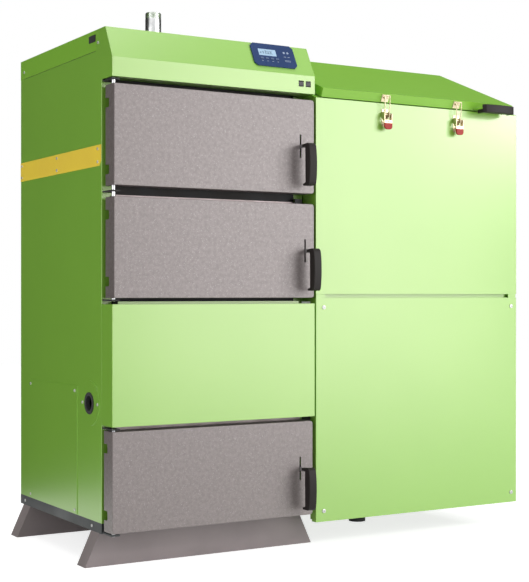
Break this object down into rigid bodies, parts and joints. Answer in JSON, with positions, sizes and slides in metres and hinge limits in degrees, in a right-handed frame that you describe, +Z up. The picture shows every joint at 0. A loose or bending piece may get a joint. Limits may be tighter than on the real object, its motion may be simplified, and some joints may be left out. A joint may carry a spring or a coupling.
{
  "type": "pellet boiler",
  "caption": "Floor-standing pellet boiler with hinged steel doors, a sloped control cowl and a side hopper with a latched lid, on folded sheet feet.",
  "frame": {"origin": "on the floor, under the middle of the whole object's bounding box", "axes": "+X to the hopper's side, -Y to the doors, +Z up"},
  "size_m": [1.393, 0.801, 1.556],
  "materials": {
    "green_paint": "smooth semi-gloss paint",
    "foot_paint": "smooth satin paint",
    "rail_paint": "smooth satin paint",
    "vessel_paint": "heat-resistant matt paint",
    "door_paint": "hammered grey paint",
    "zinc_steel": "zinc plated",
    "black_rubber": "matt",
    "yellow_strip": "printed strip, left bare",
    "screw_steel": "blackened heads",
    "galvanised_pipe": "bright galvanised",
    "flue_steel": "bare sheet steel",
    "cast_iron": "as cast",
    "fan_paint": "pale grey paint",
    "feeder_paint": "satin black paint",
    "auger_steel": "bare steel",
    "motor_paint": "blue-grey enamel",
    "drawer_steel": "bare sheet steel",
    "foot_rubber": "matt",
    "grip_plastic": "moulded black",
    "latch_steel": "yellow-passivated zinc",
    "panel_blue": "moulded blue",
    "display_glass": "clear window over a pale blue display",
    "liner_steel": "zinc plated sheet",
    "rope_seal": "braided fibre",
    "lever_steel": "zinc plated",
    "rocker_plastic": "black",
    "key_plastic": "pale grey"
  },
  "bodies": {
    "boiler": {"left_side_sheet": "green_paint", "right_side_sheet": "green_paint", "rear_panel": "green_paint", "top_cover": "green_paint", "control_cowl": "green_paint", "front_cover": "green_paint", "access_panel": "green_paint", "port_cover": "green_paint", "hopper_casing": "green_paint", "hopper_front_panel": "green_paint", "hopper_side_panel": "green_paint", "feet": "foot_paint", "base_frame": "rail_paint", "boiler_vessel": "vessel_paint", "front_plate": "vessel_paint", "hinge_pins": "zinc_steel", "cable_grommets": "black_rubber", "trim_strip": "yellow_strip", "casing_screws": "screw_steel", "water_pipes": "galvanised_pipe", "flue_spigot": "flue_steel", "burner_retort": "cast_iron", "combustion_fan": "fan_paint", "feeder_tube": "feeder_paint", "gearmotor": "motor_paint", "ash_drawer": "drawer_steel", "hopper_funnel": "zinc_steel", "hopper_foot": "foot_rubber", "latch_bases": "latch_steel", "controller_bezel": "panel_blue", "display_window": "display_glass"},
    "upper_door": {"upper_door_shell": "door_paint", "upper_door_liner": "liner_steel", "upper_door_seal": "rope_seal"},
    "upper_handle": {"upper_handle_lever": "lever_steel", "upper_handle_grip": "grip_plastic"},
    "middle_door": {"middle_door_shell": "door_paint", "middle_door_liner": "liner_steel", "middle_door_seal": "rope_seal"},
    "middle_handle": {"middle_handle_lever": "lever_steel", "middle_handle_grip": "grip_plastic"},
    "lower_door": {"lower_door_shell": "door_paint", "lower_door_liner": "liner_steel", "lower_door_seal": "rope_seal"},
    "lower_handle": {"lower_handle_lever": "lever_steel", "lower_handle_grip": "grip_plastic"},
    "lid": {"hopper_lid": "green_paint", "lid_handle": "grip_plastic", "lid_keepers": "latch_steel"},
    "left_latch": {"left_latch_lever": "latch_steel"},
    "left_bail": {"left_latch_bail": "latch_steel"},
    "right_latch": {"right_latch_lever": "latch_steel"},
    "right_bail": {"right_latch_bail": "latch_steel"},
    "auger": {"auger": "auger_steel"},
    "key_1": {"panel_key_1": "key_plastic"},
    "key_2": {"panel_key_2": "key_plastic"},
    "key_3": {"panel_key_3": "key_plastic"},
    "key_4": {"panel_key_4": "key_plastic"},
    "left_switch": {"left_rocker": "rocker_plastic"},
    "right_switch": {"right_rocker": "rocker_plastic"}
  },
  "joints": [
    {"name": "upper_door_hinge", "type": "hinge", "parent": "boiler", "child": "upper_door", "pos_m": [-0.6455, -0.3295, 1.11875], "axis": [0, 0, -1], "range_deg": [0, 110]},
    {"name": "upper_handle_pivot", "type": "hinge", "parent": "upper_door", "child": "upper_handle", "pos_m": [-0.0885, -0.3175, 1.11775], "axis": [-1, 0, 0], "range_deg": [0, 30]},
    {"name": "middle_door_hinge", "type": "hinge", "parent": "boiler", "child": "middle_door", "pos_m": [-0.6455, -0.3295, 0.82925], "axis": [0, 0, -1], "range_deg": [0, 110]},
    {"name": "middle_handle_pivot", "type": "hinge", "parent": "middle_door", "child": "middle_handle", "pos_m": [-0.0735, -0.3175, 0.82825], "axis": [-1, 0, 0], "range_deg": [0, 30]},
    {"name": "lower_door_hinge", "type": "hinge", "parent": "boiler", "child": "lower_door", "pos_m": [-0.6455, -0.3295, 0.22625], "axis": [0, 0, -1], "range_deg": [0, 110]},
    {"name": "lower_handle_pivot", "type": "hinge", "parent": "lower_door", "child": "lower_handle", "pos_m": [-0.0895, -0.3175, 0.22525], "axis": [-1, 0, 0], "range_deg": [0, 30]},
    {"name": "lid_hinge", "type": "hinge", "parent": "boiler", "child": "lid", "pos_m": [0.3295, 0.0195, 1.4046], "axis": [-1, 0, 0], "range_deg": [0, 75]},
    {"name": "left_latch_pivot", "type": "hinge", "parent": "boiler", "child": "left_latch", "pos_m": [0.1985, -0.3535, 1.226], "axis": [-1, 0, 0], "range_deg": [0, 95]},
    {"name": "left_bail_pivot", "type": "hinge", "parent": "left_latch", "child": "left_bail", "pos_m": [0.1985, -0.358, 1.213], "axis": [-1, 0, 0], "range_deg": [-95, 0]},
    {"name": "right_latch_pivot", "type": "hinge", "parent": "boiler", "child": "right_latch", "pos_m": [0.4605, -0.3535, 1.226], "axis": [-1, 0, 0], "range_deg": [0, 95]},
    {"name": "right_bail_pivot", "type": "hinge", "parent": "right_latch", "child": "right_bail", "pos_m": [0.4605, -0.358, 1.213], "axis": [-1, 0, 0], "range_deg": [-95, 0]},
    {"name": "auger_spin", "type": "hinge", "parent": "boiler", "child": "auger", "pos_m": [0.0735, -0.0345, 0.336], "axis": [1, 0, 0], "continuous": true},
    {"name": "key_1_press", "type": "slide", "parent": "boiler", "child": "key_1", "axis": [0, 0.8858, -0.464], "range_m": [0, 0.001], "stiffness_N_per_m": 200},
    {"name": "key_2_press", "type": "slide", "parent": "boiler", "child": "key_2", "axis": [0, 0.8858, -0.464], "range_m": [0, 0.001], "stiffness_N_per_m": 200},
    {"name": "key_3_press", "type": "slide", "parent": "boiler", "child": "key_3", "axis": [0, 0.8858, -0.464], "range_m": [0, 0.001], "stiffness_N_per_m": 200},
    {"name": "key_4_press", "type": "slide", "parent": "boiler", "child": "key_4", "axis": [0, 0.8858, -0.464], "range_m": [0, 0.001], "stiffness_N_per_m": 200},
    {"name": "left_rocker_pivot", "type": "hinge", "parent": "boiler", "child": "left_switch", "pos_m": [-0.0862, -0.3405, 1.2925], "axis": [-1, 0, 0], "range_deg": [0, 10]},
    {"name": "right_rocker_pivot", "type": "hinge", "parent": "boiler", "child": "right_switch", "pos_m": [-0.0632, -0.3405, 1.2925], "axis": [-1, 0, 0], "range_deg": [0, 10]}
  ],
  "couplings": [
    {"joint": "left_bail_pivot", "follows": "left_latch_pivot", "ratio": -1},
    {"joint": "right_bail_pivot", "follows": "right_latch_pivot", "ratio": -1}
  ]
}
